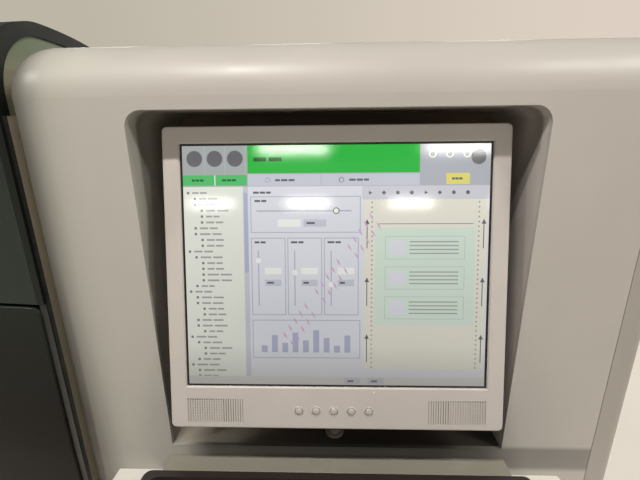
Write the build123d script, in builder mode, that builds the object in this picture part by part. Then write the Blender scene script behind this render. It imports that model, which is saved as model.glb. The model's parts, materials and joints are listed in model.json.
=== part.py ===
"""Operator console of a continuous feed printer, with the dark cover bay beside it.

Millimetres, +Z up, floor at Z = 0, the operator stands on the -Y side.
"""
import math
import os

from build123d import *

# Overall layout
console_width = 683.0
strip_width = 33.0
seam_gap = 0.8
bay_width = 550.0
machine_depth = 780.0
console_top = 1520.0
wall = 5.0
panel = 20.0
panel_gap = 3.0

# Rolled housing of the console
fascia_depth = 160.0
fascia_apron = 74.0
top_roll = 54.0
side_roll = 60.0
end_roll = 14.0
top_skirt = 80.0

# Recess in the fascia
opening_width = 429.0
opening_height = 419.0
opening_drop = 67.0
opening_corner = 18.0
opening_from_left = 356.0
recess_depth = 150.0
liner = 3.0

# Lock in the recess floor
lock_back = 27.0
lock_flange_radius = 12.5
lock_flange = 3.0
lock_boss_radius = 8.0
lock_height = 9.0
lock_slot_length = 8.0
lock_slot_width = 1.6
lock_slot_depth = 3.0

# Feet, plinths and base pans
foot_height = 30.0
foot_radius = 28.0
foot_pad = 10.0
foot_inset = 90.0
stem_radius = 12.0
stem_sides = 6
plinth_height = 90.0
plinth_inset = 35.0
base_pan = 20.0

# Lower door and rear vents
door_thickness = 66.0
door_reveal = 4.0
grip_width = 130.0
grip_height = 26.0
grip_depth = 12.0
grip_drop = 70.0
grip_inset = 110.0
vent_width = 260.0
vent_slot = 6.0
vent_depth = 8.0
vent_pitch = 16.0
vent_rows = 8
vent_height = 190.0

# Ledge under the recess
ledge_width = 438.0
ledge_reach = 26.0
ledge_drop = 16.0
ledge_thickness = 12.0
ledge_edge = 3.0

# Worktop and its brackets
worktop_reach = 320.0
worktop_width = 590.0
worktop_drop = 26.0
worktop_thickness = 25.0
worktop_corner = 30.0
worktop_edge = 3.0
bracket_reach = 240.0
bracket_drop = 150.0
bracket_nose = 24.0
bracket_thickness = 6.0
bracket_spacing = 420.0

# Keyboard tray
tray_width = 476.0
tray_depth = 215.0
tray_height = 34.0
tray_corner = 10.0
tray_rim = 12.0
tray_floor = 6.0
tray_edge = 3.0
tray_gap = 3.0

# Monitor housing
monitor_tilt = 12.1
bezel_width = 386.0
bezel_height = 348.6
bezel_thickness = 16.0
bezel_corner = 6.0
bezel_edge = 2.0
bezel_top_gap = 16.0
bezel_bottom_proud = 36.2
back_shell_depth = 32.0
back_shell_inset = 12.0
back_shell_taper = 40.0
back_shell_corner = 12.0
mount_plate = 100.0
mount_plate_thickness = 4.0
mount_plate_corner = 5.0
arm_height = 70.0
arm_width = 60.0

# Screen, buttons and speaker grilles
image_width = 338.0
image_height = 270.4
image_border = 4.6
image_top_margin = 23.4
screen_set_back = 3.0
window_chamfer = 1.2
button_radius = 4.2
button_count = 5
button_pitch = 20.3
button_height = 21.8
button_offset = -1.5
button_proud = 1.6
button_pocket = 3.0
button_clearance = 0.4
grille_width = 69.2
grille_height = 28.4
grille_edge = 19.2
grille_bottom = 7.4
slot_pitch = 2.8
slot_depth = 2.0
outer_slot = 1.6
inner_slot = 0.5

# Dark covers of the bay
cover_set_back = 22.0
cover_turn = 5.5
cover_gap = 5.0
cover_thickness = 18.0
cover_corner = 12.0
cover_lip = 3.0
crease_drop = 231.0
crease_run_back = 16.0
hood_rise = 40.0
hood_height = 337.0
hood_shoulder = 90.0
hood_sweep = 650.0
hood_depth = 448.0
hood_wall = 16.0
end_rim = 16.0
rim_width = 9.5
end_plate = 6.0

# Frame of the bay
jamb_back = 3.0
gasket_width = 6.0
gasket_back = 4.0
rail_depth = 25.0
rail_lap = 30.0
sheet_drop = 70.0
deck_drop = 120.0

# Worked-out places
overall_width = bay_width + console_width + strip_width
overall_depth = worktop_reach + machine_depth
bay_left = -overall_width / 2
bay_right = bay_left + bay_width
console_left = bay_right
seam_x = console_left + console_width
console_right = seam_x + strip_width
screen_x = console_left + opening_from_left
front_y = worktop_reach - overall_depth / 2
rear_y = front_y + machine_depth
plinth_top = foot_height + plinth_height
base_top = plinth_top + base_pan
opening_top = console_top - opening_drop
opening_floor = opening_top - opening_height
fascia_bottom = opening_floor - fascia_apron
ledge_top = opening_floor - ledge_drop
worktop_top = ledge_top - worktop_drop
cover_front = front_y + cover_set_back
cover_back = cover_front + cover_thickness
cover_right = bay_right - gasket_width
cover_bottom = base_top + door_reveal
hood_top = console_top + hood_rise
cover_split = hood_top - hood_height
cover_top = cover_split - cover_gap / 2
cover_crease = cover_split - crease_drop
hood_foot = cover_split + cover_gap / 2
hood_back = cover_front + hood_depth
sheet_top = console_top - sheet_drop
deck_top = console_top - deck_drop
turn_slope = math.tan(math.radians(cover_turn))
turn_stretch = 1 / math.cos(math.radians(cover_turn))


def export(piece, label):
    """Name a finished piece and write it to its own file."""
    piece.label = label
    export_step(piece, f"parts/{label}.step")


def slab(x0, x1, y0, y1, z0, z1):
    """A plain upright slab between six planes."""
    with BuildPart() as made:
        with BuildSketch(Plane.XY.offset(z0)):
            with Locations(((x0 + x1) / 2, (y0 + y1) / 2)):
                Rectangle(x1 - x0, y1 - y0)
        extrude(amount=z1 - z0)
    return made.part


def console_plan(inset, back, right):
    """The console seen from above: a flat front whose left end rolls round into the side."""
    front = front_y + inset
    left = console_left + inset
    roll_x = console_left + side_roll
    roll_y = front_y + side_roll
    with BuildSketch() as outline:
        with BuildLine():
            Polyline((left, roll_y), (left, back), (right, back), (right, front), (roll_x, front))
            TangentArc((roll_x, front), (left, roll_y), tangent=(-1, 0))
        make_face()
    return outline.sketch


def rolled_housing(inset):
    """The front moulding as a solid block, inset from its outer faces, its top edge rolled."""
    with BuildPart() as made:
        with BuildSketch(Plane.XY.offset(fascia_bottom)):
            add(console_plan(inset, front_y + fascia_depth, seam_x))
        extrude(amount=console_top - inset - fascia_bottom)
        top_edges = made.faces().sort_by(Axis.Z)[-1].edges()
        rolled_edges = top_edges.sort_by(Axis.Y)[:-1].sort_by(Axis.X)[:-1]
        fillet(rolled_edges, radius=top_roll - inset)
    return made.part


def top_cover_profile(inset):
    """The top cover seen from the front, inset from its outer faces, its left edge rolled."""
    left = console_left + inset
    top = console_top - inset
    bottom = console_top - top_skirt
    with BuildSketch() as outline:
        with Locations(((left + seam_x) / 2, (bottom + top) / 2)):
            Rectangle(seam_x - left, top - bottom)
        rolled_corner = outline.vertices().group_by(Axis.Y)[-1].sort_by(Axis.X)[0]
        fillet(rolled_corner, radius=top_roll - inset)
    return outline.sketch


def opening_outline(margin):
    """The recess opening seen from the front, grown by a margin on every side."""
    width = opening_width + 2 * margin
    top = opening_top + margin
    bottom = opening_floor - margin
    with BuildSketch() as outline:
        with Locations((screen_x, (top + bottom) / 2)):
            Rectangle(width, top - bottom)
        fillet(outline.vertices().group_by(Axis.Y)[-1], radius=opening_corner + margin)
    return outline.sketch


def vent_field(centre_x):
    """A stack of long ventilation slots for a rear panel."""
    with BuildSketch() as field:
        with Locations((centre_x, base_top + vent_height)):
            with GridLocations(0, vent_pitch, 1, vent_rows):
                Rectangle(vent_width, vent_slot)
    return field.sketch


def drift(x):
    """How far the turned front of the bay has fallen back at a place along it."""
    return (cover_right - x) * turn_slope


def bay_plan(left, front, back):
    """The bay seen from above, its front falling back towards the left."""
    with BuildSketch() as outline:
        with BuildLine():
            Polyline(
                (bay_right, front),
                (cover_right, front),
                (left, front + drift(left)),
                (left, back),
                (bay_right, back),
                close=True,
            )
        make_face()
    return outline.sketch


def turned_cover(straight, left, right):
    """A straight front piece turned with the bay's front and trimmed between two places."""
    with BuildPart() as made:
        add(straight.rotate(Axis((cover_right, cover_front, 0), (0, 0, 1)), -cover_turn))
        add(slab(left, right, front_y, rear_y, 0, console_top), mode=Mode.INTERSECT)
    return made.part


def turned_run(profile, right, left):
    """A side profile run to the left along the turned front of the bay."""
    course = Vector(left - right, drift(left) - drift(right), 0)
    with BuildPart() as made:
        with BuildSketch(Plane.YZ.offset(right)):
            add(profile.moved(Location((drift(right), 0, 0))))
        extrude(amount=course.length, dir=course)
    return made.part


def cover_profile(set_back, top):
    """The lower cover's side profile: upright to the crease, then leaning back to the floor."""
    crease_front = cover_front + set_back
    foot_front = crease_front + crease_run_back
    foot_back = cover_back + crease_run_back
    with BuildSketch() as outline:
        with BuildLine():
            Polyline(
                (crease_front, top),
                (crease_front, cover_crease),
                (foot_front, cover_bottom),
                (foot_back, cover_bottom),
                (cover_back, cover_crease),
                (cover_back, top),
                close=True,
            )
        make_face()
    return outline.sketch


def hood_outline(inset):
    """The hood's side profile: upright front, round shoulder, long sweep down to the back."""
    front = cover_front + inset
    back = cover_front + hood_depth - inset
    crown_y = cover_front + hood_shoulder
    crown_z = hood_top - inset
    shoulder = hood_shoulder - inset
    sweep = hood_sweep - inset
    back_z = crown_z - sweep + math.sqrt(sweep**2 - (back - crown_y) ** 2)
    with BuildSketch() as outline:
        with BuildLine():
            Polyline((back, back_z), (back, hood_foot), (front, hood_foot), (front, crown_z - shoulder))
            TangentArc((front, crown_z - shoulder), (crown_y, crown_z), tangent=(0, 1))
            TangentArc((crown_y, crown_z), (back, back_z), tangent=(1, 0))
        make_face()
    return outline.sketch


def hood_band(thickness):
    """The hood's side profile as an open arch of even thickness."""
    with BuildSketch() as band:
        add(hood_outline(0))
        add(hood_outline(thickness), mode=Mode.SUBTRACT)
    return band.sketch


os.makedirs("parts", exist_ok=True)


# Console
with BuildPart() as console_fascia:
    add(rolled_housing(0))
    add(rolled_housing(wall), mode=Mode.SUBTRACT)
    with BuildSketch(Plane.XZ.offset(-front_y)):
        add(opening_outline(0))
    extrude(amount=-wall * 2, mode=Mode.SUBTRACT)
export(console_fascia.part, "console_fascia")

with BuildPart() as recess_liner:
    with BuildSketch(Plane.XZ.offset(-(front_y + wall))):
        add(opening_outline(liner))
        add(opening_outline(0), mode=Mode.SUBTRACT)
        with Locations((screen_x, opening_floor - liner)):
            Rectangle(opening_width + 3 * liner, 2 * liner, mode=Mode.SUBTRACT)
    extrude(amount=-(recess_depth - wall))
export(recess_liner.part, "recess_liner")

recess_half = opening_width / 2 + liner
export(
    slab(
        screen_x - recess_half,
        screen_x + recess_half,
        front_y + wall,
        front_y + recess_depth,
        opening_floor - liner,
        opening_floor,
    ),
    "recess_floor",
)
export(
    slab(
        screen_x - recess_half,
        screen_x + recess_half,
        front_y + recess_depth,
        front_y + recess_depth + liner,
        opening_floor - liner,
        opening_top + liner,
    ),
    "recess_back_wall",
)

with BuildPart() as recess_lock:
    with BuildSketch(Plane.XY.offset(opening_floor)):
        with Locations((screen_x, front_y + lock_back)):
            Circle(lock_flange_radius)
    extrude(amount=lock_flange)
    with BuildSketch(Plane.XY.offset(opening_floor + lock_flange)):
        with Locations((screen_x, front_y + lock_back)):
            Circle(lock_boss_radius)
    extrude(amount=lock_height - lock_flange)
    with BuildSketch(Plane.XY.offset(opening_floor + lock_height)):
        with Locations((screen_x, front_y + lock_back)):
            Rectangle(lock_slot_length, lock_slot_width)
    extrude(amount=-lock_slot_depth, mode=Mode.SUBTRACT)
export(recess_lock.part, "recess_lock")

with BuildPart() as console_top_cover:
    with BuildSketch(Plane.XZ.offset(-(front_y + fascia_depth))):
        add(top_cover_profile(0))
    extrude(amount=-(machine_depth - fascia_depth))
    with BuildSketch(Plane.XZ.offset(-(front_y + fascia_depth))):
        add(top_cover_profile(wall))
    extrude(amount=-(machine_depth - fascia_depth - wall), mode=Mode.SUBTRACT)
export(console_top_cover.part, "console_top_cover")

with BuildPart() as console_end_cover:
    with BuildSketch(Plane.YZ.offset(seam_x + seam_gap)):
        with BuildLine():
            Polyline(
                (front_y + top_roll, console_top),
                (rear_y, console_top),
                (rear_y, plinth_top),
                (front_y, plinth_top),
                (front_y, console_top - top_roll),
            )
            TangentArc(
                (front_y, console_top - top_roll), (front_y + top_roll, console_top), tangent=(0, 1)
            )
        make_face()
    extrude(amount=strip_width - seam_gap)
    end_face = console_end_cover.faces().sort_by(Axis.X)[-1]
    outer_edges = [
        edge
        for edge in end_face.edges()
        if edge.center().Z > plinth_top + end_roll and edge.center().Y < rear_y - end_roll
    ]
    fillet(outer_edges, radius=end_roll)
export(console_end_cover.part, "console_end_cover")

with BuildPart() as console_left_panel:
    with BuildSketch(Plane.YZ.offset(console_left)):
        with BuildLine():
            Polyline(
                (front_y + door_thickness + panel_gap, base_top),
                (rear_y - panel, base_top),
                (rear_y - panel, console_top - top_skirt),
                (front_y + fascia_depth, console_top - top_skirt),
                (front_y + fascia_depth, fascia_bottom),
                (front_y + door_thickness + panel_gap, fascia_bottom),
                close=True,
            )
        make_face()
    extrude(amount=panel)
export(console_left_panel.part, "console_left_panel")

with BuildPart() as console_rear_panel:
    add(
        slab(
            console_left,
            seam_x,
            rear_y - panel,
            rear_y,
            base_top,
            console_top - top_skirt,
        )
    )
    with BuildSketch(Plane.XZ.offset(-rear_y)):
        add(vent_field((console_left + seam_x) / 2))
    extrude(amount=vent_depth, mode=Mode.SUBTRACT)
export(console_rear_panel.part, "console_rear_panel")

door_right = seam_x - door_reveal
with BuildPart() as console_lower_door:
    with BuildSketch(Plane.XY.offset(base_top + door_reveal)):
        add(console_plan(0, front_y + door_thickness, door_right))
    extrude(amount=fascia_bottom - base_top - 2 * door_reveal)
    with BuildSketch(Plane.XZ.offset(-front_y)):
        with Locations((door_right - grip_inset, fascia_bottom - grip_drop)):
            SlotOverall(grip_width, grip_height)
    extrude(amount=-grip_depth, mode=Mode.SUBTRACT)
export(console_lower_door.part, "console_lower_door")

with BuildPart() as console_base_pan:
    with BuildSketch(Plane.XY.offset(plinth_top)):
        add(console_plan(0, rear_y, seam_x))
    extrude(amount=base_pan)
export(console_base_pan.part, "console_base_pan")
export(
    slab(
        console_left,
        console_right - plinth_inset,
        front_y + plinth_inset,
        rear_y - plinth_inset,
        foot_height,
        plinth_top,
    ),
    "console_plinth",
)

# Ledge, worktop and keyboard tray
with BuildPart() as front_ledge:
    add(
        slab(
            screen_x - ledge_width / 2,
            screen_x + ledge_width / 2,
            front_y - ledge_reach,
            front_y,
            ledge_top - ledge_thickness,
            ledge_top,
        )
    )
    fillet(
        front_ledge.edges().filter_by(Axis.X).sort_by(Axis.Y)[:2].sort_by(Axis.Z)[-1],
        radius=ledge_edge,
    )
export(front_ledge.part, "front_ledge")

with BuildPart() as worktop:
    add(
        slab(
            screen_x - worktop_width / 2,
            screen_x + worktop_width / 2,
            front_y - worktop_reach,
            front_y,
            worktop_top - worktop_thickness,
            worktop_top,
        )
    )
    fillet(
        worktop.edges().filter_by(Axis.Z).sort_by(Axis.Y)[:2], radius=worktop_corner
    )
    open_edges = worktop.faces().sort_by(Axis.Z)[-1].edges().sort_by(Axis.Y)[:-1]
    chamfer(open_edges, length=worktop_edge)
export(worktop.part, "worktop")

bracket_top = worktop_top - worktop_thickness
for bracket_name, side in (("worktop_bracket_left", -1), ("worktop_bracket_right", 1)):
    bracket_x = screen_x + side * bracket_spacing / 2 - bracket_thickness / 2
    with BuildPart() as worktop_bracket:
        with BuildSketch(Plane.YZ.offset(bracket_x)):
            with BuildLine():
                Polyline(
                    (front_y, bracket_top),
                    (front_y - bracket_reach, bracket_top),
                    (front_y - bracket_reach, bracket_top - bracket_nose),
                    (front_y - bracket_nose, bracket_top - bracket_drop),
                    (front_y, bracket_top - bracket_drop),
                    close=True,
                )
            make_face()
        extrude(amount=bracket_thickness)
    export(worktop_bracket.part, bracket_name)

tray_back = front_y - ledge_reach - tray_gap
with BuildPart() as keyboard_tray:
    with BuildSketch(Plane.XY.offset(worktop_top)):
        with Locations((screen_x, tray_back - tray_depth / 2)):
            RectangleRounded(tray_width, tray_depth, tray_corner)
    extrude(amount=tray_height)
    with BuildSketch(Plane.XY.offset(worktop_top + tray_floor)):
        with Locations((screen_x, tray_back - tray_depth / 2)):
            RectangleRounded(
                tray_width - 2 * tray_rim, tray_depth - 2 * tray_rim, tray_corner
            )
    extrude(amount=tray_height, mode=Mode.SUBTRACT)
    outer_rim = keyboard_tray.faces().sort_by(Axis.Z)[-1].outer_wire().edges()
    chamfer(outer_rim, length=tray_edge)
export(keyboard_tray.part, "keyboard_tray")

# Monitor, on a face plane that leans back
lean = Vector(0, math.sin(math.radians(monitor_tilt)), math.cos(math.radians(monitor_tilt)))
bezel_bottom = opening_top - bezel_top_gap - bezel_height * lean.Z
face_plane = Plane(
    origin=(screen_x, front_y - bezel_bottom_proud, bezel_bottom),
    x_dir=(1, 0, 0),
    z_dir=(0, -lean.Z, lean.Y),
)
face_axis = Axis(face_plane.origin, face_plane.z_dir)
bezel_centre = (0, bezel_height / 2)
image_centre = (0, bezel_height - image_top_margin - image_height / 2)
window_width = image_width + 2 * image_border
window_height = image_height + 2 * image_border
slot_count = int(grille_width / slot_pitch)
slot_step = (outer_slot - inner_slot) / (slot_count - 1)

with BuildPart() as monitor_bezel:
    with BuildSketch(face_plane.offset(-bezel_thickness)):
        with Locations(bezel_centre):
            RectangleRounded(bezel_width, bezel_height, bezel_corner)
    extrude(amount=bezel_thickness)
    fillet(monitor_bezel.faces().sort_by(face_axis)[-1].edges(), radius=bezel_edge)
    with BuildSketch(face_plane):
        with Locations(image_centre):
            Rectangle(window_width, window_height)
    extrude(amount=-bezel_thickness, mode=Mode.SUBTRACT)
    window_rim = monitor_bezel.faces().sort_by(face_axis)[-1].inner_wires()[0].edges()
    chamfer(window_rim, length=window_chamfer)
    with BuildSketch(face_plane):
        with Locations((button_offset, button_height)):
            with GridLocations(button_pitch, 0, button_count, 1):
                Circle(button_radius + button_clearance)
    extrude(amount=-button_pocket, mode=Mode.SUBTRACT)
    with BuildSketch(face_plane):
        for side in (-1, 1):
            for slot in range(slot_count):
                slot_x = bezel_width / 2 - grille_edge - slot_pitch * (slot + 1 / 2)
                with Locations((side * slot_x, grille_bottom + grille_height / 2)):
                    Rectangle(outer_slot - slot_step * slot, grille_height)
    extrude(amount=-slot_depth, mode=Mode.SUBTRACT)
export(monitor_bezel.part, "monitor_bezel")

with BuildPart() as monitor_screen:
    with BuildSketch(face_plane.offset(-bezel_thickness)):
        with Locations(image_centre):
            Rectangle(window_width, window_height)
    extrude(amount=bezel_thickness - screen_set_back)
export(monitor_screen.part, "monitor_screen")

with BuildPart() as monitor_buttons:
    with BuildSketch(face_plane.offset(-button_pocket)):
        with Locations((button_offset, button_height)):
            with GridLocations(button_pitch, 0, button_count, 1):
                Circle(button_radius)
    extrude(amount=button_pocket + button_proud)
export(monitor_buttons.part, "monitor_buttons")

shell_width = bezel_width - 2 * back_shell_inset
shell_height = bezel_height - 2 * back_shell_inset
with BuildPart() as monitor_back_shell:
    with BuildSketch(face_plane.offset(-bezel_thickness)):
        with Locations(bezel_centre):
            RectangleRounded(shell_width, shell_height, back_shell_corner)
    with BuildSketch(face_plane.offset(-bezel_thickness - back_shell_depth)):
        with Locations(bezel_centre):
            RectangleRounded(
                shell_width - 2 * back_shell_taper,
                shell_height - 2 * back_shell_taper,
                back_shell_corner,
            )
    loft()
export(monitor_back_shell.part, "monitor_back_shell")

mount_depth = bezel_thickness + back_shell_depth
with BuildPart() as monitor_mount_plate:
    with BuildSketch(face_plane.offset(-mount_depth - mount_plate_thickness)):
        with Locations(bezel_centre):
            RectangleRounded(mount_plate, mount_plate, mount_plate_corner)
    extrude(amount=mount_plate_thickness)
export(monitor_mount_plate.part, "monitor_mount_plate")

arm_back = front_y + recess_depth
arm_origin = face_plane.offset(-mount_depth - mount_plate_thickness).from_local_coords(
    Vector(0, bezel_height / 2, 0)
)
arm_top = arm_origin + lean * (arm_height / 2)
arm_foot = arm_origin - lean * (arm_height / 2)
with BuildPart() as monitor_arm:
    with BuildSketch(Plane.YZ.offset(screen_x - arm_width / 2)):
        with BuildLine():
            Polyline(
                (arm_foot.Y, arm_foot.Z),
                (arm_back, arm_foot.Z),
                (arm_back, arm_top.Z),
                (arm_top.Y, arm_top.Z),
                close=True,
            )
        make_face()
    extrude(amount=arm_width)
export(monitor_arm.part, "monitor_arm")

# Dark cover bay
with BuildPart() as bay_base_pan:
    with BuildSketch(Plane.XY.offset(plinth_top)):
        add(bay_plan(bay_left, cover_front, rear_y))
    extrude(amount=base_pan)
export(bay_base_pan.part, "bay_base_pan")

with BuildPart() as bay_plinth:
    with BuildSketch(Plane.XY.offset(foot_height)):
        add(bay_plan(bay_left + plinth_inset, cover_front + plinth_inset, rear_y - plinth_inset))
    extrude(amount=plinth_height)
export(bay_plinth.part, "bay_plinth")

left_plate = bay_left + rim_width
right_plate = cover_right - rim_width
with BuildPart() as straight_cover:
    with BuildSketch(Plane.YZ.offset(cover_right - (cover_right - bay_left) * turn_stretch)):
        add(cover_profile(0, cover_top))
    extrude(amount=(right_plate - bay_left) * turn_stretch)
    top_corners = straight_cover.edges().filter_by(Axis.Y).group_by(Axis.Z)[-1]
    fillet(top_corners, radius=cover_corner)
    upright_face = straight_cover.faces().filter_by(Axis.Y).sort_by(Axis.Y)[0]
    rounded_rim = [edge for edge in upright_face.edges() if edge.center().Z > cover_crease + cover_lip]
    fillet(rounded_rim, radius=cover_lip)
export(turned_cover(straight_cover.part, bay_left, right_plate), "bay_lower_cover")

with BuildPart() as straight_jamb:
    with BuildSketch(Plane.YZ.offset(cover_right)):
        add(cover_profile(jamb_back, hood_foot))
    extrude(amount=2 * rim_width, both=True)
export(turned_cover(straight_jamb.part, right_plate, cover_right), "bay_cover_jamb")

export(
    turned_run(hood_band(hood_wall), right_plate, left_plate), "bay_hood"
)
export(turned_run(hood_band(end_rim), left_plate, bay_left), "bay_hood_rim_left")
export(turned_run(hood_band(end_rim), cover_right, right_plate), "bay_hood_rim_right")
export(
    turned_run(hood_outline(end_rim), left_plate, left_plate - end_plate), "bay_hood_end_left"
)
export(
    turned_run(hood_outline(end_rim), right_plate + end_plate, right_plate), "bay_hood_end_right"
)

rail_front = cover_front + cover_thickness * turn_stretch
with BuildSketch() as rail_profile:
    with Locations((rail_front + rail_depth / 2, (hood_foot + cover_top - rail_lap) / 2)):
        Rectangle(rail_depth, hood_foot - cover_top + rail_lap)
export(turned_run(rail_profile.sketch, cover_right, bay_left + panel), "bay_cross_rail")

with BuildPart() as bay_right_panel:
    with BuildSketch(Plane.YZ.offset(cover_right)):
        with BuildLine():
            Polyline(
                (cover_back, base_top),
                (rear_y - panel, base_top),
                (rear_y - panel, deck_top - panel),
                (hood_back, deck_top - panel),
                (hood_back, sheet_top),
                (cover_back, sheet_top),
                close=True,
            )
        make_face()
    extrude(amount=gasket_width)
export(bay_right_panel.part, "bay_right_panel")
export(
    slab(
        cover_right,
        bay_right,
        cover_front + gasket_back,
        cover_back,
        base_top,
        sheet_top,
    ),
    "bay_gasket",
)

left_drift = drift(bay_left)
left_front = rail_front + left_drift
with BuildPart() as bay_left_panel:
    with BuildSketch(Plane.YZ.offset(bay_left)):
        with BuildLine():
            Polyline(
                (left_front + crease_run_back * turn_stretch, base_top),
                (rear_y - panel, base_top),
                (rear_y - panel, deck_top - panel),
                (hood_back + left_drift, deck_top - panel),
                (hood_back + left_drift, hood_foot),
                (left_front, hood_foot),
                (left_front, cover_crease),
                close=True,
            )
        make_face()
    extrude(amount=panel)
export(bay_left_panel.part, "bay_left_panel")

with BuildPart() as bay_rear_panel:
    add(
        slab(
            bay_left,
            bay_right,
            rear_y - panel,
            rear_y,
            base_top,
            deck_top - panel,
        )
    )
    with BuildSketch(Plane.XZ.offset(-rear_y)):
        add(vent_field((bay_left + bay_right) / 2))
    extrude(amount=vent_depth, mode=Mode.SUBTRACT)
export(bay_rear_panel.part, "bay_rear_panel")

with BuildPart() as bay_top_deck:
    with BuildSketch(Plane.XY.offset(deck_top - panel)):
        add(bay_plan(bay_left, hood_back, rear_y))
    extrude(amount=panel)
export(bay_top_deck.part, "bay_top_deck")

# Levelling feet
for feet_name, foot_left, foot_right, foot_front in (
    ("console_feet", console_left, console_right, front_y),
    ("bay_feet", bay_left, bay_right, cover_front),
):
    feet_centre = ((foot_left + foot_right) / 2, (foot_front + rear_y) / 2)
    across = foot_right - foot_left - 2 * foot_inset
    along = rear_y - foot_front - 2 * foot_inset
    with BuildPart() as feet:
        with BuildSketch():
            with Locations(feet_centre):
                with GridLocations(across, along, 2, 2):
                    Circle(foot_radius)
        extrude(amount=foot_pad)
        with BuildSketch(Plane.XY.offset(foot_pad)):
            with Locations(feet_centre):
                with GridLocations(across, along, 2, 2):
                    RegularPolygon(stem_radius, stem_sides)
        extrude(amount=foot_height - foot_pad)
    export(feet.part, feet_name)
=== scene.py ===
"""Looks of the operator console: camera, lights, floor, finishes and the fine pieces.

Metres, +Z up, floor at Z = 0. The operator stands on the -Y side.
"""
import json
import math
import random

import bmesh
import bpy
from mathutils import Matrix, Vector


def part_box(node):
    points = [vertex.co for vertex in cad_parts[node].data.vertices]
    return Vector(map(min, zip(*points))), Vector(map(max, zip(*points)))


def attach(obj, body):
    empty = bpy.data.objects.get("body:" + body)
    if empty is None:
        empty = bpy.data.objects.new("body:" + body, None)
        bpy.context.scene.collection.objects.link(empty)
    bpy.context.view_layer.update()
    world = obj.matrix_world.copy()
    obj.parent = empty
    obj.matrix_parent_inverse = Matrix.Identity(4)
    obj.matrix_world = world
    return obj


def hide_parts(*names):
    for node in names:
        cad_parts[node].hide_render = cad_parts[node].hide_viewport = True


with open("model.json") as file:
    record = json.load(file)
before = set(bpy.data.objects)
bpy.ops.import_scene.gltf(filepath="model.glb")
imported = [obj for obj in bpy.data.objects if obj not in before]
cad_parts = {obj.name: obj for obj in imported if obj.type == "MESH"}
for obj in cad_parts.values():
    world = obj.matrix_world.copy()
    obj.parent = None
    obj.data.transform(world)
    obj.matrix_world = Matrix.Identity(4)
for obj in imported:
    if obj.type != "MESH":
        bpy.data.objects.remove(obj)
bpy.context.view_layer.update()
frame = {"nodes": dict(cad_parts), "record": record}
nodes = frame["nodes"]
scene = bpy.context.scene


# Places read from the frame
def low(node):
    return Vector(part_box(node)[0])


def high(node):
    return Vector(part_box(node)[1])


front_y = low("console_fascia").y
console_left = low("console_fascia").x
console_top = high("console_fascia").z
screen_x = (low("recess_floor").x + high("recess_floor").x) / 2
recess_left = low("recess_liner").x
recess_right = high("recess_liner").x
ledge_top = high("front_ledge").z


# Colours
def srgb(red, green, blue):
    """A colour given as 0 to 255 display values, turned into linear light."""
    linear = []
    for value in (red, green, blue):
        share = value / 255
        linear.append(share / 12.92 if share <= 0.04045 else ((share + 0.055) / 1.055) ** 2.4)
    return (*linear, 1.0)


def weaker(colour, share):
    """A colour at a share of its brightness."""
    return tuple(share * part for part in colour[:3]) + (1.0,)


housing_grey = srgb(186, 181, 174)
housing_left = srgb(181, 180, 170)
plate_colour = srgb(180, 171, 148)
plate_green = srgb(150, 156, 132)
dust_grey = srgb(196, 190, 178)
cover_green = srgb(56, 63, 57)
cover_cloud = srgb(48, 53, 48)
cover_foot_shade = srgb(20, 17, 15)
wipe_grey = srgb(104, 108, 98)
end_green = srgb(152, 167, 138)
end_cloud = srgb(142, 154, 127)
shade_brown = srgb(44, 39, 32)
shade_dark = srgb(30, 28, 24)
recess_shade = srgb(30, 29, 25)


# Materials
class Nodes:
    """A node tree, with short ways to add nodes and links."""

    def __init__(self, tree):
        self.tree = tree

    def node(self, kind, **settings):
        made = self.tree.nodes.new(kind)
        for key, value in settings.items():
            setattr(made, key, value)
        return made

    def join(self, source, target):
        self.tree.links.new(source, target)

    def ranged(self, source, from_low, from_high, to_low=0.0, to_high=1.0):
        """One range of values stretched to another, and level beyond its ends."""
        made = self.node("ShaderNodeMapRange")
        made.inputs["From Min"].default_value = from_low
        made.inputs["From Max"].default_value = from_high
        made.inputs["To Min"].default_value = to_low
        made.inputs["To Max"].default_value = to_high
        self.join(source, made.inputs["Value"])
        return made.outputs["Result"]

    def maths(self, operation, first, second):
        """Two values added, subtracted or multiplied."""
        made = self.node("ShaderNodeMath", operation=operation)
        self.join(first, made.inputs[0])
        self.join(second, made.inputs[1])
        return made.outputs["Value"]


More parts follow.
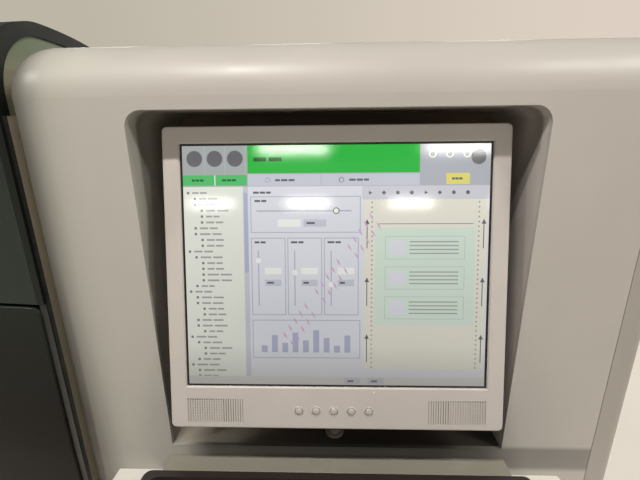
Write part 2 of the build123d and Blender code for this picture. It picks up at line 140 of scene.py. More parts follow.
class Finish(Nodes):
    """One node material on a Principled shader, with short ways to add its layers."""

    def __init__(self, name, colour, roughness, metallic=0.0, specular=0.5):
        self.name = name
        self.material = bpy.data.materials.new(name)
        self.material.use_nodes = True
        super().__init__(self.material.node_tree)
        self.shader = self.tree.nodes["Principled BSDF"]
        self.colour = colour
        self.shader.inputs["Base Color"].default_value = colour
        self.shader.inputs["Roughness"].default_value = roughness
        self.shader.inputs["Metallic"].default_value = metallic
        self.shader.inputs["Specular IOR Level"].default_value = specular
        self.coords = self.node("ShaderNodeTexCoord").outputs["Object"]
        self.height = None

    def noise(self, scale, detail=3.0, rough=0.5, stretch=(1, 1, 1)):
        """Noise on the object's coordinates, which may be stretched."""
        mapping = self.node("ShaderNodeMapping")
        mapping.inputs["Scale"].default_value = stretch
        self.join(self.coords, mapping.inputs["Vector"])
        made = self.node("ShaderNodeTexNoise")
        made.inputs["Scale"].default_value = scale
        made.inputs["Detail"].default_value = detail
        made.inputs["Roughness"].default_value = rough
        self.join(mapping.outputs["Vector"], made.inputs["Vector"])
        return made.outputs["Fac"]

    def place(self, axis):
        """One coordinate of the object."""
        split = self.node("ShaderNodeSeparateXYZ")
        self.join(self.coords, split.inputs["Vector"])
        return split.outputs[axis]

    def along(self, axis, start, end, at_start=0.0, at_end=1.0):
        """A value that runs between two places on an axis, and stays level beyond them."""
        return self.ranged(self.place(axis), start, end, at_start, at_end)

    def curve(self, source, points):
        """A smooth curve through points of (input, output), both 0 to 1."""
        made = self.node("ShaderNodeValToRGB")
        made.color_ramp.interpolation = "B_SPLINE"
        while len(made.color_ramp.elements) < len(points):
            made.color_ramp.elements.new(1.0)
        for element, (at, value) in zip(made.color_ramp.elements, points):
            element.position = at
            element.color = (value, value, value, 1.0)
        self.join(source, made.inputs["Fac"])
        return made.outputs["Color"]

    def tint(self, other, share):
        """Blend the base colour towards another one, by a share from 0 to 1."""
        mix = self.node("ShaderNodeMix", data_type="RGBA")
        link = self.shader.inputs["Base Color"].links
        if link:
            self.join(link[0].from_socket, mix.inputs["A"])
        else:
            mix.inputs["A"].default_value = self.colour
        mix.inputs["B"].default_value = other
        self.join(share, mix.inputs["Factor"])
        self.join(mix.outputs["Result"], self.shader.inputs["Base Color"])

    def rough_by(self, source, smooth, dull):
        """Roughness that a noise moves between two values."""
        self.join(self.ranged(source, 0.3, 0.7, smooth, dull), self.shader.inputs["Roughness"])

    def bump(self, source, strength, distance):
        """A fine relief on top of those that are there already."""
        made = self.node("ShaderNodeBump")
        made.inputs["Strength"].default_value = strength
        made.inputs["Distance"].default_value = distance
        self.join(source, made.inputs["Height"])
        if self.height:
            self.join(self.height, made.inputs["Normal"])
        self.height = made.outputs["Normal"]
        self.join(self.height, self.shader.inputs["Normal"])


def painted_panel(name, colour, roughness=0.34, peel=0.05, dust=0.18):
    """Powder-coated sheet: faint cloudy tone, fine orange peel, a little dust and handling."""
    made = Finish(name, colour, roughness)
    cloud = made.noise(3.1, detail=4.0, rough=0.55)
    made.tint(weaker(colour, 0.90), made.ranged(cloud, 0.35, 0.65, 0.0, 0.7))
    smear = made.noise(9.0, detail=5.0, rough=0.62, stretch=(1.0, 1.0, 0.35))
    made.tint(dust_grey, made.ranged(smear, 0.56, 0.78, 0.0, dust))
    made.rough_by(made.noise(14.0, detail=4.0), roughness - 0.05, roughness + 0.09)
    made.bump(made.noise(900.0, detail=2.0), peel, 0.0004)
    return made


def side_shade(made):
    """Painted shade: a brown tone on the left roll, where it lies in the bay's shade, deepening
    downwards.
    """
    shade_width = 0.095
    lean_at_foot = 0.014
    flank_edge = console_left + 0.041
    lean = made.along("Z", console_top - 0.28, console_top - 0.49, 0.0, lean_at_foot)
    leaning = made.maths("SUBTRACT", made.place("X"), lean)
    across = made.ranged(leaning, console_left, console_left + shade_width)
    fall = (
        (0.0, 0.74), (0.27, 0.72), (0.37, 0.62), (0.45, 0.47),
        (0.55, 0.32), (0.65, 0.14), (0.78, 0.05), (0.95, 0.0),
    )
    made.tint(shade_brown, made.curve(across, fall))
    # A second band of painted shade along the roll's outer edge, stronger lower down.
    flank = made.along("X", flank_edge, flank_edge - 0.005)
    downwards = made.along("Z", console_top - 0.22, console_top - 0.46, 0.0, 0.8)
    made.tint(shade_brown, made.maths("MULTIPLY", flank, downwards))


def sill_shade(made):
    """Painted shadow: a dark tone on the strip of the front between the recess and the ledge."""
    ends = ((0.0, 0.0), (0.06, 0.1), (0.14, 0.95), (0.82, 0.95), (0.93, 0.85), (1.0, 0.5))
    across = made.curve(made.along("X", recess_left, recess_right), ends)
    below = made.along("Z", ledge_top + 0.022, ledge_top + 0.016, 0.0, 0.9)
    above = made.along("Z", ledge_top - 0.020, ledge_top - 0.012)
    strip = made.maths("MULTIPLY", below, above)
    made.tint(shade_dark, made.maths("MULTIPLY", across, strip))


def rolled_panel(name, colour):
    """The housing's paint on its rolled front: a cooler left side, painted shade on the left roll
    and a painted shadow on the sill.
    """
    made = painted_panel(name, colour, roughness=0.4)
    made.tint(housing_left, made.along("X", recess_left + 0.05, console_left))
    side_shade(made)
    sill_shade(made)
    return made


def side_plate(name):
    """The sheet between bay and console: grey-brown below, green where it meets the hood."""
    made = painted_panel(name, plate_colour, roughness=0.5, peel=0.03, dust=0.05)
    made.tint(plate_green, made.along("Z", console_top - 0.14, console_top - 0.08))
    return made


def cover_plastic(name, colour, cloud, foot=0.3, specular=0.15):
    """Dark green glossy cover: near black, with painted shade making it browner and darker to the
    foot, and hairline wipe marks.
    """
    made = Finish(name, colour, 0.2, specular=specular)
    made.tint(cloud, made.ranged(made.noise(2.4, detail=4.0), 0.35, 0.65, 0.0, 0.8))
    # Painted shade towards the foot.
    made.tint(cover_foot_shade, made.along("Z", console_top - 0.10, console_top - 0.47, 0.0, foot))
    wipes = made.noise(60.0, detail=6.0, rough=0.7, stretch=(1.0, 1.0, 0.05))
    made.tint(wipe_grey, made.ranged(wipes, 0.64, 0.8, 0.0, 0.10))
    made.rough_by(made.noise(7.0, detail=5.0, rough=0.6), 0.16, 0.28)
    made.bump(made.noise(420.0, detail=2.0), 0.03, 0.0003)
    return made


def shaded_end(name):
    """The hood's end beside the housing: green above, and a painted grey-brown tone for the
    housing's shade lower down.
    """
    made = cover_plastic(name, end_green, end_cloud, foot=0.0)
    # Painted shade below the housing's top.
    made.tint(plate_colour, made.along("Z", console_top + 0.002, console_top - 0.03))
    return made


def moulded_plastic(name, colour, roughness=0.42, grain=1500.0, specular=0.5):
    """Moulded housing plastic: fine spark-eroded grain and a slightly uneven tone."""
    made = Finish(name, colour, roughness, specular=specular)
    cloud = made.noise(11.0, detail=4.0)
    made.tint(weaker(colour, 0.93), made.ranged(cloud, 0.35, 0.65, 0.0, 0.8))
    made.rough_by(made.noise(30.0), roughness - 0.05, roughness + 0.07)
    made.bump(made.noise(grain, detail=2.0), 0.10, 0.0003)
    return made


def brushed_metal(name, colour, roughness=0.32):
    """Zinc-plated or brushed steel, with fine lines and dull patches."""
    made = Finish(name, colour, roughness, metallic=1.0)
    lines = made.noise(140.0, rough=0.6, stretch=(0.06, 1.0, 1.0))
    made.tint(weaker(colour, 0.72), made.ranged(lines, 0.35, 0.7, 0.0, 0.7))
    made.rough_by(made.noise(40.0, detail=4.0), roughness - 0.08, roughness + 0.14)
    made.bump(lines, 0.08, 0.0003)
    return made


def rubber(name, colour):
    """Black rubber with rubbed grey patches, and grey-brown on its side that faces the housing."""
    made = Finish(name, colour, 0.72, specular=0.3)
    rubbed = made.noise(55.0, detail=4.0)
    made.tint(srgb(58, 56, 52), made.ranged(rubbed, 0.5, 0.75, 0.0, 0.35))
    facing = made.node("ShaderNodeSeparateXYZ")
    made.join(made.node("ShaderNodeNewGeometry").outputs["Normal"], facing.inputs["Vector"])
    made.tint(plate_colour, made.ranged(facing.outputs["X"], 0.5, 0.9))
    made.bump(made.noise(700.0, detail=2.0), 0.15, 0.0004)
    return made


def recess_paint_and_shade(name, left_colour, right_lit_colour):
    """Paint inside the recess with painted light and shade: its right side is painted lighter,
    where light from the left falls on it, and a painted shadow of the overhang lies on both sides.
    """
    made = painted_panel(name, left_colour, roughness=0.42)
    # Painted light on the right side.
    made.tint(right_lit_colour, made.along("X", recess_left, recess_right, 0.0, 0.9))
    # Painted shadow of the overhang: a dark band a little way in from the front, its edge moved
    # with height on each side.
    on_left = made.along("X", recess_left + 0.02, recess_left + 0.01)
    on_right = made.along("X", recess_right - 0.02, recess_right - 0.01)
    rise = made.along("Z", console_top - 0.175, console_top - 0.28, 0.0, 0.026)
    fall = made.along("Z", console_top - 0.11, console_top - 0.22, -0.006, 0.044)
    depth = made.maths("ADD", made.place("Y"), made.maths("MULTIPLY", on_left, rise))
    depth = made.maths("SUBTRACT", depth, made.maths("MULTIPLY", on_right, fall))
    shade_start = front_y + 0.021
    shade_depth = 0.034
    across = made.ranged(depth, shade_start, shade_start + shade_depth)
    made.tint(recess_shade, made.curve(across, ((0.0, 0.0), (0.1, 0.62), (0.4, 0.5), (0.85, 0.0))))
    return made


def recess_foot(name):
    """Floor of the recess: grey at its left end, with a painted shadow that makes it nearly black
    under the monitor.
    """
    made = painted_panel(name, srgb(186, 178, 164), roughness=0.45)
    # Painted shadow of the monitor over most of the floor, fading out at the left end.
    ends = ((0.0, 0.1), (0.13, 0.0), (0.27, 0.93), (0.78, 1.0), (0.92, 0.95), (1.0, 0.95))
    made.tint(srgb(40, 36, 32), made.curve(made.along("X", recess_left, recess_right), ends))
    return made


finishes = {
    made.name: made
    for made in (
        painted_panel("housing_grey", housing_grey),
        rolled_panel("housing_rolled", housing_grey),
        painted_panel("end_grey", srgb(167, 161, 154)),
        recess_paint_and_shade("recess_grey", srgb(184, 182, 171), srgb(210, 202, 197)),
        recess_foot("recess_floor"),
        painted_panel("recess_dark", srgb(150, 128, 114), roughness=0.5, dust=0.08),
        moulded_plastic("lock_grey", srgb(138, 130, 122), roughness=0.4),
        # The ledge's darker grey is painted shade.
        painted_panel("ledge_shaded_grey", srgb(138, 134, 122)),
        painted_panel("worktop_white", srgb(216, 212, 204), roughness=0.3, peel=0.02, dust=0.05),
        moulded_plastic("tray_black", srgb(46, 39, 37), roughness=0.38, grain=900.0),
        side_plate("plate_grey"),
        cover_plastic("cover_green", cover_green, cover_cloud),
        cover_plastic("cover_front", cover_green, cover_cloud, foot=1.0, specular=0.09),
        cover_plastic("end_green", end_green, end_cloud, foot=0.0),
        shaded_end("end_shaded"),
        moulded_plastic("trim_dark", srgb(40, 41, 37), roughness=0.36),
        moulded_plastic("rim_dark", srgb(31, 34, 30), roughness=0.4, specular=0.25),
        rubber("gasket_black", srgb(18, 18, 17)),
        painted_panel("base_dark", srgb(62, 61, 58), roughness=0.5, peel=0.08, dust=0.3),
        brushed_metal("steel", srgb(190, 188, 184)),
        moulded_plastic("bezel_plastic", srgb(197, 190, 184)),
        moulded_plastic("button_plastic", srgb(188, 181, 174), roughness=0.3),
        moulded_plastic("grille_slot_shade", srgb(84, 76, 67), roughness=0.5),
        moulded_plastic("lamp_lens", srgb(226, 222, 176), roughness=0.2),
        moulded_plastic("screen_black", srgb(24, 23, 23), roughness=0.3, grain=2500.0),
    )
}

# Nodes that take another finish than the one named like their material slot
finish_of_node = {
    "console_fascia": "housing_rolled",
    "console_lower_door": "housing_rolled",
    "console_end_cover": "end_grey",
    "recess_liner": "recess_grey",
    "recess_floor": "recess_floor",
    "recess_back_wall": "recess_dark",
    "recess_lock": "lock_grey",
    "front_ledge": "ledge_shaded_grey",
    "monitor_screen": "screen_black",
    "bay_right_panel": "plate_grey",
    "bay_lower_cover": "cover_front",
    "bay_hood_end_left": "end_green",
    "bay_hood_end_right": "end_shaded",
    "bay_hood_rim_left": "rim_dark",
    "bay_hood_rim_right": "rim_dark",
}
slot_of_node = {
    row["node"]: row["material_slot"] for row in frame["record"]["subparts"]
}
for node_name, node_object in nodes.items():
    wanted = finish_of_node.get(node_name, slot_of_node[node_name])
    for material_slot in node_object.material_slots:
        material_slot.material = finishes[wanted].material


# Meshes
def piece(name, mesh, finish):
    """A piece with one finish, which rides with the fixed body."""
    obj = bpy.data.objects.new(name, mesh)
    scene.collection.objects.link(obj)
    obj.data.materials.append(finishes[finish].material)
    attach(obj, "root")
    return obj


def finished(name, shapes, finish, smooth=True):
    """Turn a bmesh into a piece, with its normals outwards."""
    bmesh.ops.recalc_face_normals(shapes, faces=shapes.faces)
    mesh = bpy.data.meshes.new(name)
    shapes.to_mesh(mesh)
    shapes.free()
    if smooth:
        mesh.shade_smooth()
    return piece(name, mesh, finish)


def turned(shapes, place, profile, corners=28):
    """Revolve a profile of (radius, height) points about the Z axis of a place."""
    rings = []
    for radius, height in profile:
        spots = []
        for step in range(corners if radius else 1):
            angle = 2 * math.pi * step / corners
            spot = Vector((radius * math.cos(angle), radius * math.sin(angle), height))
            spots.append(shapes.verts.new(place @ spot))
        rings.append(spots)
    for inner, outer in zip(rings, rings[1:]):
        for step in range(corners):
            after = (step + 1) % corners
            around = (
                inner[step % len(inner)],
                outer[step % len(outer)],
                outer[after % len(outer)],
                inner[after % len(inner)],
            )
            shapes.faces.new(list(dict.fromkeys(around)))


def bar(shapes, place, left, bottom, right, top, back, front):
    """A straight bar between two depths."""
    made = bmesh.ops.create_cube(shapes, size=1.0)
    size = Matrix.Diagonal((right - left, top - bottom, front - back, 1.0))
    middle = Matrix.Translation(((left + right) / 2, (bottom + top) / 2, (back + front) / 2))
    bmesh.ops.transform(shapes, matrix=place @ middle @ size, verts=made["verts"])


def face_frame(node):
    """The flat front of a monitor piece, and the width and height of the flat.

    The origin is at its middle, with X right, Y up the face and Z outwards.
    """
    mesh = nodes[node].data
    forward = [face for face in mesh.polygons if face.normal.y < -0.9]
    front = max(forward, key=lambda face: face.area)
    normal = front.normal.normalized()
    up = Vector((0, normal.z, -normal.y)).normalized()
    spots = [
        mesh.vertices[index].co
        for face in mesh.polygons
        if face.normal.dot(normal) > 0.9999
        for index in face.vertices
    ]
    heights = [spot.dot(up) for spot in spots]
    sides = [spot.x for spot in spots]
    middle = Vector(((min(sides) + max(sides)) / 2, 0, 0))
    middle += up * (min(heights) + max(heights)) / 2 + normal * front.center.dot(normal)
    made = Matrix.Identity(4)
    made.col[0].xyz = (1, 0, 0)
    made.col[1].xyz = up
    made.col[2].xyz = normal
    made.col[3].xyz = middle
    return made, (max(sides) - min(sides), max(heights) - min(heights))


screen_face, window_size = face_frame("monitor_screen")
bezel_face = face_frame("monitor_bezel")[0]
bezel_up = bezel_face.col[1].xyz
bezel_heights = [vertex.co.dot(bezel_up) for vertex in nodes["monitor_bezel"].data.vertices]
bezel_foot = -(max(bezel_heights) - min(bezel_heights)) / 2
bezel_width = high("monitor_bezel").x - low("monitor_bezel").x


# Picture on the screen
image_border = 0.0024
image_width = window_size[0] - 2 * image_border
image_height = window_size[1] - 2 * image_border
layer_step = 0.00006


class Picture:
    """Flat shapes on the screen, each with its own colour, in units of the picture's size.

    Across runs 0 to 1 from the left and down runs 0 to 1 from the top. A higher layer lies
    in front of a lower one.
    """

    def __init__(self):
        self.shapes = bmesh.new()
        self.tones = self.shapes.loops.layers.float_color.new("tone")

    def polygon(self, points, tone, layer):
        """One flat shape in one colour."""
        corners = []
        for across, down in points:
            right = (across - 0.5) * image_width
            up = (0.5 - down) * image_height
            spot = screen_face @ Vector((right, up, (layer + 1) * layer_step))
            corners.append(self.shapes.verts.new(spot))
        for loop in self.shapes.faces.new(corners).loops:
            loop[self.tones] = tone

    def block(self, left, top, right, bottom, tone, layer=1):
        """A filled rectangle."""
        self.polygon(((left, bottom), (right, bottom), (right, top), (left, top)), tone, layer)

    def frame_line(self, left, top, right, bottom, tone, layer=2, line=0.003):
        """The outline of a block."""
        tall = line * image_width / image_height
        self.block(left, top, right, top + tall, tone, layer)
        self.block(left, bottom - tall, right, bottom, tone, layer)
        self.block(left, top, left + line, bottom, tone, layer)
        self.block(right - line, top, right, bottom, tone, layer)

    def disc(self, across, down, radius, tone, layer=2, corners=28):
        """A disc, or an even shape with few corners."""
        tall = radius * image_width / image_height
        ring = []
        for step in range(corners):
            angle = -2 * math.pi * step / corners
            ring.append((across + radius * math.cos(angle), down + tall * math.sin(angle)))
        self.polygon(ring, tone, layer)

    def text_bar(self, left, middle, length, tone, layer=3, tall=0.0085, words=3):
        """A broken line of small blocks, in the place of a label."""
        place_number = int(left * 7919 + middle * 104729)
        draw = random.Random(place_number)
        pitch = length / words
        at = left
        for _ in range(words):
            wide = pitch * draw.uniform(0.62, 0.92)
            self.block(at, middle - tall / 2, at + wide, middle + tall / 2, tone, layer)
            at += wide + pitch * 0.14

    def done(self):
        """The mesh of all shapes."""
        mesh = bpy.data.meshes.new("screen_picture")
        self.shapes.to_mesh(mesh)
        self.shapes.free()
        return mesh


head_grey = srgb(174, 180, 178)
lavender = srgb(185, 188, 195)
pale_lavender = srgb(208, 210, 222)
tool_grey = srgb(216, 215, 222)
foot_grey = srgb(228, 226, 220)
grid_line = srgb(190, 193, 204)
cream = srgb(240, 242, 230)
page_cream = srgb(240, 236, 221)
page_green = srgb(222, 238, 222)
panel_blue = srgb(232, 233, 240)
scroll_blue = srgb(184, 188, 214)
bar_green = srgb(42, 190, 66)
cell_green = srgb(88, 198, 112)
bar_ink = srgb(20, 96, 34)
cell_ink = srgb(24, 110, 48)
signal_yellow = srgb(236, 226, 122)
stroke_pink = srgb(222, 178, 214)
white = srgb(252, 252, 246)
ink = srgb(106, 108, 112)
faint_ink = srgb(172, 174, 172)
list_mark = srgb(132, 134, 132)
disc_grey = srgb(110, 109, 112)

# Where the picture's areas meet
head_foot = 0.165
list_right = 0.215
field_right = 0.775
settings_right = 0.59


def header(picture):
    """Status strip along the top: green field, lamps at both sides, one row of tabs below."""
    lamp_row = 0.052
    ring_row = 0.04
    tab_row = 0.14
    cell_top, cell_foot = 0.118, 0.16
    picture.block(0.0, 0.0, list_right, head_foot, head_grey)
    picture.block(list_right, 0.0, 1.0, head_foot, lavender)
    picture.block(list_right, 0.0, field_right, 0.112, bar_green, 2)
    picture.text_bar(0.235, 0.056, 0.12, bar_ink, tall=0.016, words=2)
    for number in range(3):
        across = 0.04 + 0.067 * number
        picture.disc(across, lamp_row, 0.026, disc_grey)
        picture.block(across + 0.0325, 0.0, across + 0.0345, 0.115, grid_line, 2)
    picture.block(0.0, cell_top, 0.212, cell_foot, cell_green, 2)
    picture.block(0.105, cell_top, 0.108, cell_foot, white, 3)
    for left in (0.03, 0.13):
        picture.text_bar(left, 0.139, 0.05, cell_ink)
    for left, right in ((list_right, 0.455), (0.457, field_right)):
        picture.block(left, 0.116, right, 0.163, pale_lavender, 2)
        picture.text_bar(left + 0.09, tab_row, 0.075, ink)
        picture.disc(left + 0.065, tab_row, 0.009, ink)
        picture.disc(left + 0.065, tab_row, 0.006, pale_lavender, 3)
    for number in range(3):
        across = 0.815 + 0.055 * number
        picture.disc(across, ring_row, 0.012, white)
        picture.disc(across, ring_row, 0.008, faint_ink, 3)
    picture.disc(0.962, lamp_row, 0.024, disc_grey)
    picture.block(0.86, 0.116, 0.935, cell_foot, signal_yellow, 2)
    picture.text_bar(0.878, 0.138, 0.036, ink)


def item_list(picture):
    """Left column: rows that step in and out, each with a small square mark."""
    bar_left = 0.198
    first_row = 0.19
    row_pitch = 0.0242
    step_in = 0.022
    picture.block(0.0, head_foot, list_right, 1.0, cream)
    picture.block(bar_left, head_foot, list_right, 1.0, pale_lavender, 2)
    picture.block(bar_left + 0.002, first_row, list_right - 0.002, 0.52, scroll_blue, 3)
    steps = (
        0, 1, 1, 2, 2, 2, 1, 1, 2, 2,
        0, 1, 2, 2, 2, 2, 1, 0, 1, 1, 2, 2, 1, 1, 2,
        0, 1, 2, 2, 1, 0, 1, 1,
    )
    for row, step in enumerate(steps):
        down = first_row + row_pitch * row
        left = 0.012 + step_in * step
        length = 0.06 + 0.012 * ((row * 5) % 4)
        picture.block(left, down - 0.005, left + 0.008, down + 0.005, list_mark, 2)
        picture.text_bar(left + 0.018, down, length, faint_ink, 2, tall=0.0075, words=2)


def settings(picture):
    """Middle column: a slider with fields, three groups of fields, and a bar chart."""
    left = 0.222
    right = 0.585
    knob_across, knob_down = 0.505, 0.265
    group_pitch = 0.121
    group_width = 0.115
    chart_foot = 0.86
    picture.block(list_right, head_foot, settings_right, 1.0, panel_blue)
    picture.text_bar(left + 0.01, 0.19, 0.07, ink)
    picture.frame_line(left, 0.205, right, 0.355, grid_line)
    picture.text_bar(left + 0.014, 0.224, 0.05, ink, words=2)
    picture.block(left + 0.02, 0.262, right - 0.03, 0.268, grid_line, 2)
    picture.disc(knob_across, knob_down, 0.011, ink, 3)
    picture.disc(knob_across, knob_down, 0.008, white, 4)
    picture.block(left + 0.09, 0.3, left + 0.165, 0.33, white, 2)
    picture.block(left + 0.175, 0.3, left + 0.25, 0.33, pale_lavender, 2)
    picture.text_bar(left + 0.185, 0.315, 0.03, ink, words=1)
    for column in range(3):
        side = left + group_pitch * column
        picture.frame_line(side, 0.375, side + group_width, 0.7, grid_line)
        picture.text_bar(side + 0.012, 0.394, 0.05, ink, words=2)
        picture.block(side + 0.022, 0.43, side + 0.026, 0.66, grid_line, 2)
        picture.disc(side + 0.024, 0.47 + 0.05 * column, 0.009, white, 3)
        picture.block(side + 0.045, 0.5, side + 0.1, 0.527, white, 2)
        picture.block(side + 0.045, 0.55, side + 0.1, 0.577, pale_lavender, 2)
        picture.text_bar(side + 0.052, 0.563, 0.025, ink, words=1)
    for number in range(9):
        tall = 0.03 + 0.011 * ((number * 4) % 7)
        across = left + 0.03 + 0.035 * number
        picture.block(across, chart_foot - tall, across + 0.02, chart_foot, scroll_blue, 2)
    picture.frame_line(left, 0.72, right, 0.885, grid_line)


def preview(picture):
    """Right column: one sheet of continuous paper with marked margins and feed direction."""
    sheet_top, sheet_foot = 0.22, 0.93
    print_left, print_right = 0.634, 0.956
    margin_line = 0.002
    picture.block(settings_right, head_foot, 1.0, sheet_top, tool_grey)
    for tool in range(8):
        picture.disc(0.615 + 0.045 * tool, 0.193, 0.007, ink, 3, corners=3 + tool % 4)
    picture.block(0.596, sheet_top, 0.994, sheet_foot, page_cream)
    left, right = print_left - margin_line, print_right + margin_line
    picture.block(left, sheet_top, right, sheet_foot, page_green, 2)
    picture.block(print_left, sheet_top, print_right, 0.335, page_cream, 3)
    picture.block(print_left, 0.74, print_right, sheet_foot, page_cream, 3)
    hole_pitch = 0.0197
    for hole in range(36):
        for across in (0.622, 0.968):
            picture.disc(across, 0.232 + hole_pitch * hole, 0.0032, faint_ink, 3, corners=8)
    for field in range(3):
        top = 0.37 + 0.125 * field
        picture.frame_line(0.665, top, 0.925, top + 0.095, grid_line, 4, line=0.0015)
        picture.block(0.68, top + 0.018, 0.73, top + 0.077, panel_blue, 4)
        for line in range(4):
            down = top + 0.02 + 0.016 * line
            picture.block(0.745, down, 0.905, down + 0.005, faint_ink, 4)
    for side in (0.606, 0.984):
        for arrow in range(3):
            tip = 0.3 + 0.24 * arrow
            neck = tip + 0.02
            picture.polygon(((side - 0.008, neck), (side + 0.008, neck), (side, tip)), ink, 4)
            picture.block(side - 0.0015, neck, side + 0.0015, tip + 0.12, ink, 4)
    picture.block(0.64, 0.318, 0.95, 0.3205, ink, 4)


def slanted_strokes(picture):
    """Two slanted rows of pale magenta strokes across the middle column."""
    lean = 0.010
    drop = 0.012
    slip = 0.006
    tall = 0.020
    for row in range(2):
        for stroke in range(17):
            if stroke in (5, 11):
                continue
            across = 0.33 + 0.018 * stroke + 0.024 * row
            down = 0.79 - 0.031 * stroke + 0.036 * row
            corners = (
                (across, down),
                (across + lean, down + drop),
                (across + lean - slip, down + drop - tall),
                (across - slip, down - tall),
            )
            picture.polygon(corners, stroke_pink, 5)


def footer(picture):
    """Thin strip along the bottom with two buttons."""
    picture.block(0.0, 0.965, 1.0, 1.0, foot_grey, 4)
    for left in (0.53, 0.61):
        picture.block(left, 0.969, left + 0.055, 0.996, pale_lavender, 5)
        picture.text_bar(left + 0.012, 0.983, 0.03, ink, layer=6, words=1)


def screen_material():
    """Lit panel: the picture's own colours, weaker towards the foot, under a glossy film."""
    made = Finish("screen_picture", srgb(30, 32, 32), 0.065, specular=1.0)
    tone = made.node("ShaderNodeAttribute", attribute_name="tone")
    top = screen_face.translation.z + 0.5 * image_height
    fade_end = top - 0.18 * image_height
    foot_start = top - 0.98 * image_height
    foot_end = top - 0.82 * image_height
    fade = made.along("Z", top - image_height, fade_end, 0.62, 1.0)
    foot = made.along("Z", foot_start, foot_end, 0.66, 1.0)
    cloud = made.ranged(made.noise(4.0, detail=2.0), 0.3, 0.7, 0.94, 1.05)
    power = made.maths("MULTIPLY", made.maths("MULTIPLY", fade, foot), cloud)
    glow = made.node("ShaderNodeVectorMath", operation="SCALE")
    made.join(tone.outputs["Color"], glow.inputs[0])
    made.join(power, glow.inputs["Scale"])
    made.join(glow.outputs["Vector"], made.shader.inputs["Emission Color"])
    made.shader.inputs["Emission Strength"].default_value = 0.83
    made.bump(made.noise(2600.0, detail=1.0), 0.04, 0.0002)
    return made


finishes["screen_picture"] = screen_material()
picture = Picture()
picture.block(0.0, 0.0, 1.0, 1.0, panel_blue, 0)
header(picture)
item_list(picture)
settings(picture)
preview(picture)
slanted_strokes(picture)
footer(picture)
piece("screen_picture", picture.done(), "screen_picture")


# Fine pieces
def buttons():
    """Five domed push buttons, each in a shallow moulded collar."""
    button_count = 5
    button_radius = 0.0042
    button_up = bezel_foot + 0.0218
    first = low("monitor_buttons").x + button_radius - bezel_face.translation.x
    last = high("monitor_buttons").x - button_radius - bezel_face.translation.x
    pitch = (last - first) / (button_count - 1)
    dome = (
        (0.0, -0.0024), (0.0041, -0.0024), (0.0042, 0.0004),
        (0.0040, 0.0008), (0.0034, 0.0012), (0.0022, 0.0015), (0.0, 0.0016),
    )
    collar = (
        (0.0046, -0.0006), (0.0047, 0.0003), (0.0050, 0.0005),
        (0.0055, 0.0004), (0.0059, 0.0), (0.0060, -0.0006),
    )
    caps = bmesh.new()
    collars = bmesh.new()
    for number in range(button_count):
        place = bezel_face @ Matrix.Translation((first + pitch * number, button_up, 0.0))
        turned(caps, place, dome)
        turned(collars, place, collar)
    made = finished("monitor_button_caps", caps, "button_plastic")
    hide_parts("monitor_buttons")
    finished("monitor_button_collars", collars, "bezel_plastic")


buttons()


def power_lamp():
    """Small lens of the power lamp on the bezel, above the last button."""
    across = 0.045
    up = bezel_foot + 0.0446
    lens = ((0.0011, -0.0004), (0.0011, 0.0002), (0.0008, 0.0005), (0.0, 0.0006))
    shapes = bmesh.new()
    turned(shapes, bezel_face @ Matrix.Translation((across, up, 0.0)), lens, corners=16)
    finished("monitor_power_lamp", shapes, "lamp_lens")


power_lamp()

grille_edge = 0.0192
grille_foot = bezel_foot + 0.0074
grille_height = 0.0284


def speaker_mesh():
    """Thin cross bars in the outer part of both speaker grilles."""
    mesh_width = 0.043
    bar_pitch = 0.0019
    bar_height = 0.0009
    bar_back = -0.0012
    bar_front = -0.0002
    shapes = bmesh.new()
    for side in (-1, 1):
        outer = side * (bezel_width / 2 - grille_edge)
        inner = outer - side * mesh_width
        left, right = min(outer, inner), max(outer, inner)
        for row in range(int(grille_height / bar_pitch)):
            foot = grille_foot + bar_pitch * (row + 0.3)
            bar(shapes, bezel_face, left, foot, right, foot + bar_height, bar_back, bar_front)
    finished("monitor_speaker_mesh", shapes, "bezel_plastic", False)


speaker_mesh()


def speaker_slot_shade():
    """Dark strips in every slot of both grilles as painted shade, nearer the front in the inner
    slots.
    """
    slot_count = 24
    outer_count = 14
    slot_pitch = 0.0028
    outer_slot = 0.0016
    inner_slot = 0.0005
    slot_depth = 0.002
    shade_strip_thickness = 0.0002
    top = grille_foot + grille_height
    shapes = bmesh.new()
    for side in (-1, 1):
        for slot in range(slot_count):
            middle = side * (bezel_width / 2 - grille_edge - slot_pitch * (slot + 0.5))
            half = (outer_slot + (inner_slot - outer_slot) * slot / (slot_count - 1)) / 2
            left, right = middle - half, middle + half
            depth = slot_depth if slot < outer_count else slot_depth / 2
            front = shade_strip_thickness - depth
            bar(shapes, bezel_face, left, grille_foot, right, top, -slot_depth, front)
    finished("monitor_speaker_slot_shade", shapes, "grille_slot_shade", False)


speaker_slot_shade()


def panel_screws(name, node, rear, columns=3, rows=5, inset=0.022):
    """Flat socket screws in rows on the outer face of a service panel, at the rear or the left."""
    head = ((0.0056, 0.0), (0.0052, 0.0002), (0.0030, 0.00025), (0.0026, 0.00005), (0.0, 0.00005))
    start, end = low(node), high(node)
    first, last = (start.x, end.x) if rear else (start.y, end.y)
    turn = Matrix.Rotation(-math.pi / 2, 4, "X" if rear else "Y")
    shapes = bmesh.new()
    for column in range(columns):
        across = first + inset + (last - first - 2 * inset) * column / (columns - 1)
        for row in range(rows):
            up = start.z + inset + (end.z - start.z - 2 * inset) * row / (rows - 1)
            spot = (across, end.y, up) if rear else (start.x, across, up)
            turned(shapes, Matrix.Translation(spot) @ turn, head, corners=18)
    finished(name, shapes, "steel", False)


panel_screws("console_rear_screws", "console_rear_panel", rear=True)
panel_screws("bay_rear_screws", "bay_rear_panel", rear=True)
panel_screws("bay_left_screws", "bay_left_panel", rear=False)


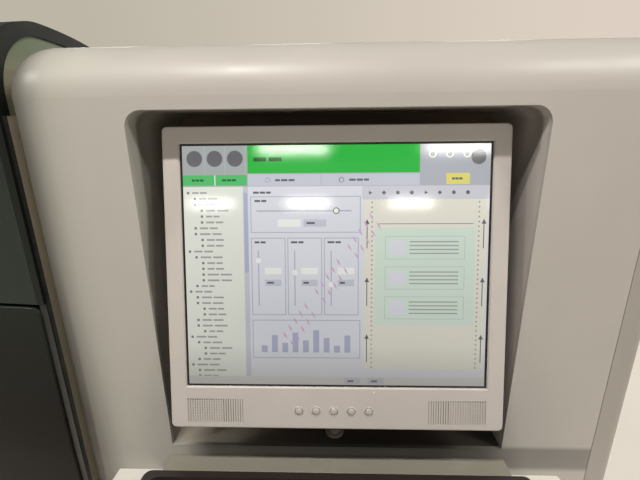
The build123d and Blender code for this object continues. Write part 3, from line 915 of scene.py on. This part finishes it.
# Floor and room
def floor():
    """A plain pale floor that runs far beyond the part."""
    reach = 14.0
    mesh = bpy.data.meshes.new("studio_floor")
    shapes = bmesh.new()
    bmesh.ops.create_grid(shapes, x_segments=8, y_segments=8, size=reach)
    shapes.to_mesh(mesh)
    shapes.free()
    obj = bpy.data.objects.new("studio_floor", mesh)
    scene.collection.objects.link(obj)
    made = Finish("studio_floor", srgb(248, 240, 230), 0.55)
    made.tint(srgb(240, 232, 222), made.ranged(made.noise(0.7), 0.3, 0.7, 0.0, 0.8))
    made.bump(made.noise(90.0), 0.05, 0.001)
    obj.data.materials.append(made.material)


floor()


def room():
    """Pale walls as the camera sees them, and a dimmer ceiling and wall light on the object."""
    world = bpy.data.worlds.new("room")
    scene.world = world
    world.use_nodes = True
    world.node_tree.nodes.clear()
    made = Nodes(world.node_tree)
    aim = made.node("ShaderNodeSeparateXYZ")
    made.join(made.node("ShaderNodeTexCoord").outputs["Generated"], aim.inputs["Vector"])

    wall = made.node("ShaderNodeMix", data_type="RGBA")
    wall.inputs["A"].default_value = srgb(189, 182, 166)
    wall.inputs["B"].default_value = srgb(221, 208, 195)
    made.join(made.ranged(aim.outputs["X"], -0.5, 0.5), wall.inputs["Factor"])
    seen = made.node("ShaderNodeBackground")
    made.join(wall.outputs["Result"], seen.inputs["Color"])

    ramp = made.node("ShaderNodeValToRGB")
    floor_tone, ceiling_tone = ramp.color_ramp.elements
    floor_tone.position = 0.35
    floor_tone.color = (0.10, 0.085, 0.075, 1)
    ceiling_tone.position = 0.95
    ceiling_tone.color = (0.62, 0.60, 0.56, 1)
    wall_tone = ramp.color_ramp.elements.new(0.55)
    wall_tone.color = (0.30, 0.28, 0.25, 1)
    made.join(made.ranged(aim.outputs["Z"], -1.0, 1.0), ramp.inputs["Fac"])
    dimmed = made.node("ShaderNodeVectorMath", operation="SCALE")
    made.join(ramp.outputs["Color"], dimmed.inputs[0])
    made.join(made.ranged(aim.outputs["X"], -0.9, 0.3, 0.2, 1.2), dimmed.inputs["Scale"])
    light = made.node("ShaderNodeBackground")
    light.inputs["Strength"].default_value = 0.42
    made.join(dimmed.outputs["Vector"], light.inputs["Color"])

    mix = made.node("ShaderNodeMixShader")
    made.join(made.node("ShaderNodeLightPath").outputs["Is Camera Ray"], mix.inputs["Fac"])
    made.join(light.outputs["Background"], mix.inputs[1])
    made.join(seen.outputs["Background"], mix.inputs[2])
    out = made.node("ShaderNodeOutputWorld")
    made.join(mix.outputs["Shader"], out.inputs["Surface"])


room()


def strip_light(name, middle, length, width, power, colour):
    """A ceiling strip that shines straight down."""
    data = bpy.data.lights.new(name, "AREA")
    data.shape = "RECTANGLE"
    data.size = length
    data.size_y = width
    data.energy = power
    data.color = colour
    obj = bpy.data.objects.new(name, data)
    scene.collection.objects.link(obj)
    obj.location = middle


strip_length = 0.66
strip_height = 2.6
warm_white = (1.0, 0.965, 0.91)
strip_columns = (-1.63, -0.1, 1.5, 3.1)
# Each row's place along Y, the width of its strips, and the power of each
strip_rows = (
    (-0.89, 0.06, 17.2),
    (-3.25, 0.14, 7.6),
    (-5.55, 0.26, 14.0),
    (2.6, 0.2, 16.0),
    (5.2, 0.3, 22.0),
)
for column, across in enumerate(strip_columns):
    for row, (along, width, power) in enumerate(strip_rows):
        middle = (across, along, strip_height)
        strip_light(f"strip_{row}_{column}", middle, strip_length, width, power, warm_white)


# Camera at the photograph's place
def camera():
    """A camera in front of the screen, pitched down, turned and rolled a little."""
    focal_pixels = 377
    picture_width = 640
    eye_aside = 0.0035
    eye_back = 0.395
    eye_height = 1.434
    pitch = math.radians(16.6)
    yaw = math.radians(1.85)
    roll = math.radians(-0.65)
    data = bpy.data.cameras.new("camera")
    data.sensor_width = 36
    data.sensor_fit = "HORIZONTAL"
    data.lens = data.sensor_width * focal_pixels / picture_width
    data.clip_start = 0.02
    obj = bpy.data.objects.new("camera", data)
    scene.collection.objects.link(obj)
    level_right = Vector((math.cos(yaw), math.sin(yaw), 0))
    level_ahead = Vector((-math.sin(yaw), math.cos(yaw), 0))
    ahead = level_ahead * math.cos(pitch) - Vector((0, 0, math.sin(pitch)))
    level_up = level_right.cross(ahead)
    place = Matrix.Identity(4)
    place.col[0].xyz = math.cos(roll) * level_right + math.sin(roll) * level_up
    place.col[1].xyz = math.cos(roll) * level_up - math.sin(roll) * level_right
    place.col[2].xyz = -ahead
    place.col[3].xyz = (screen_x - eye_aside, front_y - eye_back, eye_height)
    obj.matrix_world = place
    scene.camera = obj


camera()
scene.view_settings.view_transform = "Standard"
